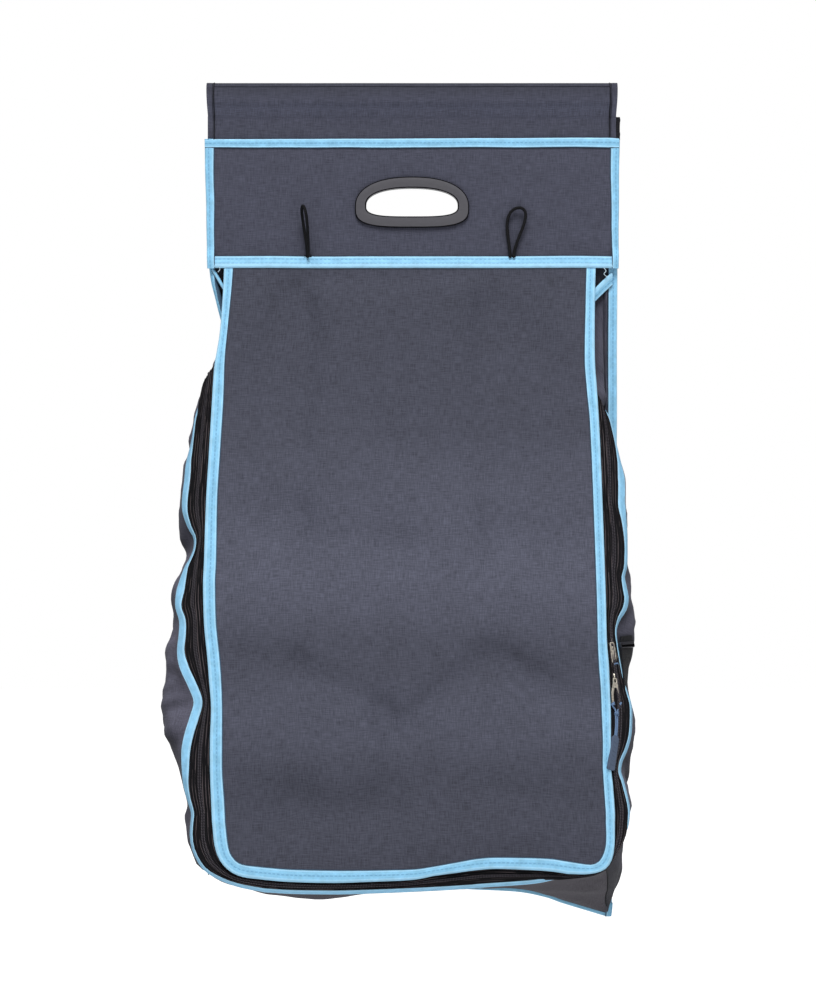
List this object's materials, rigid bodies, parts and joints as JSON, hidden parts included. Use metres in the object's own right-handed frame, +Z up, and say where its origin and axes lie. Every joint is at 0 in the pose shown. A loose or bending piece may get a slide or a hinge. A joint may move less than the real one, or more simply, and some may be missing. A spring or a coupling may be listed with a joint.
{
  "type": "tent organizer",
  "caption": "Hanging fabric organizer: pole sleeve, stiff header with carry handle and elastic loops, and a zipped front flap over gusseted compartments",
  "frame": {"origin": "The middle of the tent pole that the sleeve hangs on: the sleeve's axis at half its width", "axes": "+X along the pole to the viewer's right, +Y to the back, +Z up"},
  "size_m": [0.466, 0.1572, 0.8153],
  "materials": {
    "grey_cloth": "coated canvas weave, matt",
    "dark_cloth": "coated cloth, matt, in shade",
    "blue_binding": "ribbed binding tape with stitching",
    "zip_tape": "woven tape",
    "zip_coil": "moulded coil",
    "plated_metal": "champagne plating, satin",
    "pull_cord": "braided cord",
    "pull_tab": "moulded rubber, matt",
    "handle_plastic": "moulded, satin",
    "stiffener": "plain board",
    "elastic_cord": "braided elastic",
    "hook_and_loop": "hook and loop pile",
    "webbing": "woven webbing",
    "buckle_plastic": "moulded, satin"
  },
  "bodies": {
    "organizer": {"sleeve_front": "grey_cloth", "header_panel": "grey_cloth", "back_panel": "grey_cloth", "pocket_top": "grey_cloth", "pocket_middle": "grey_cloth", "pocket_bottom": "grey_cloth", "gusset_left": "dark_cloth", "gusset_right": "dark_cloth", "gusset_bottom": "dark_cloth", "header_binding": "blue_binding", "header_seam_binding": "blue_binding", "back_binding": "blue_binding", "gusset_binding": "blue_binding", "gusset_top_binding_left": "blue_binding", "gusset_top_binding_right": "blue_binding", "pocket_binding_top": "blue_binding", "pocket_binding_middle": "blue_binding", "pocket_binding_bottom": "blue_binding", "zip_tape_gusset": "zip_tape", "zip_coil_gusset": "zip_coil", "zip_stop_left": "plated_metal", "zip_stop_right": "plated_metal", "handle_front": "handle_plastic", "handle_back": "handle_plastic", "header_board": "stiffener", "loop_tape": "hook_and_loop", "strap_webbing": "webbing"},
    "sleeve_flap": {"sleeve_back": "grey_cloth", "hook_tape": "hook_and_loop"},
    "flap": {"front_flap": "grey_cloth", "flap_binding": "blue_binding", "zip_tape_flap": "zip_tape", "zip_coil_flap": "zip_coil"},
    "slider_upper": {"zip_slider_upper": "plated_metal"},
    "slider_lower": {"zip_slider_lower": "plated_metal"},
    "puller_upper": {"zip_puller_upper": "plated_metal"},
    "puller_lower": {"zip_puller_lower": "plated_metal"},
    "pull_upper": {"pull_cord_upper": "pull_cord"},
    "pull_lower": {"pull_cord_lower": "pull_cord", "pull_tab": "pull_tab"},
    "loop_left": {"elastic_loop_left": "elastic_cord"},
    "loop_right": {"elastic_loop_right": "elastic_cord"},
    "buckle": {"strap_buckle": "buckle_plastic"}
  },
  "joints": [
    {"name": "sleeve_open", "type": "hinge", "parent": "organizer", "child": "sleeve_flap", "pos_m": [0, 0, 0.0143], "axis": [1, 0, 0], "range_deg": [0, 110]},
    {"name": "flap_lift", "type": "hinge", "parent": "organizer", "child": "flap", "pos_m": [0, -0.0056, -0.171], "axis": [-1, 0, 0], "range_deg": [0, 130]},
    {"name": "slide_upper", "type": "slide", "parent": "organizer", "child": "slider_upper", "axis": [0, 0.2216, 0.9751], "range_m": [0, 0.2]},
    {"name": "slide_lower", "type": "slide", "parent": "organizer", "child": "slider_lower", "axis": [0, 0.2216, 0.9751], "range_m": [-0.07, 0]},
    {"name": "puller_turn_upper", "type": "hinge", "parent": "slider_upper", "child": "puller_upper", "pos_m": [0.19625, -0.0854, -0.53884], "axis": [-0.8141, -0.5663, 0.1287], "range_deg": [0, 150]},
    {"name": "puller_turn_lower", "type": "hinge", "parent": "slider_lower", "child": "puller_lower", "pos_m": [0.19625, -0.09359, -0.57492], "axis": [-0.8141, -0.5663, 0.1287], "range_deg": [0, 110]},
    {"name": "pull_turn_upper", "type": "hinge", "parent": "puller_upper", "child": "pull_upper", "pos_m": [0.19625, -0.08965, -0.55756], "axis": [-0.8141, -0.5663, 0.1287], "range_deg": [0, 90]},
    {"name": "pull_turn_lower", "type": "hinge", "parent": "puller_lower", "child": "pull_lower", "pos_m": [0.19625, -0.09851, -0.59657], "axis": [-0.8141, -0.5663, 0.1287], "range_deg": [0, 60]},
    {"name": "loop_fold_left", "type": "hinge", "parent": "organizer", "child": "loop_left", "pos_m": [-0.10375, -0.0066, -0.1598], "axis": [-1, 0, 0], "range_deg": [-95, 0], "stiffness_Nm_per_rad": 0.0005},
    {"name": "loop_fold_right", "type": "hinge", "parent": "organizer", "child": "loop_right", "pos_m": [0.0996, -0.0066, -0.1598], "axis": [-1, 0, 0], "range_deg": [-150, 0], "stiffness_Nm_per_rad": 0.0005},
    {"name": "buckle_slide", "type": "slide", "parent": "organizer", "child": "buckle", "axis": [0, 0.2216, 0.9751], "range_m": [-0.04, 0]}
  ]
}
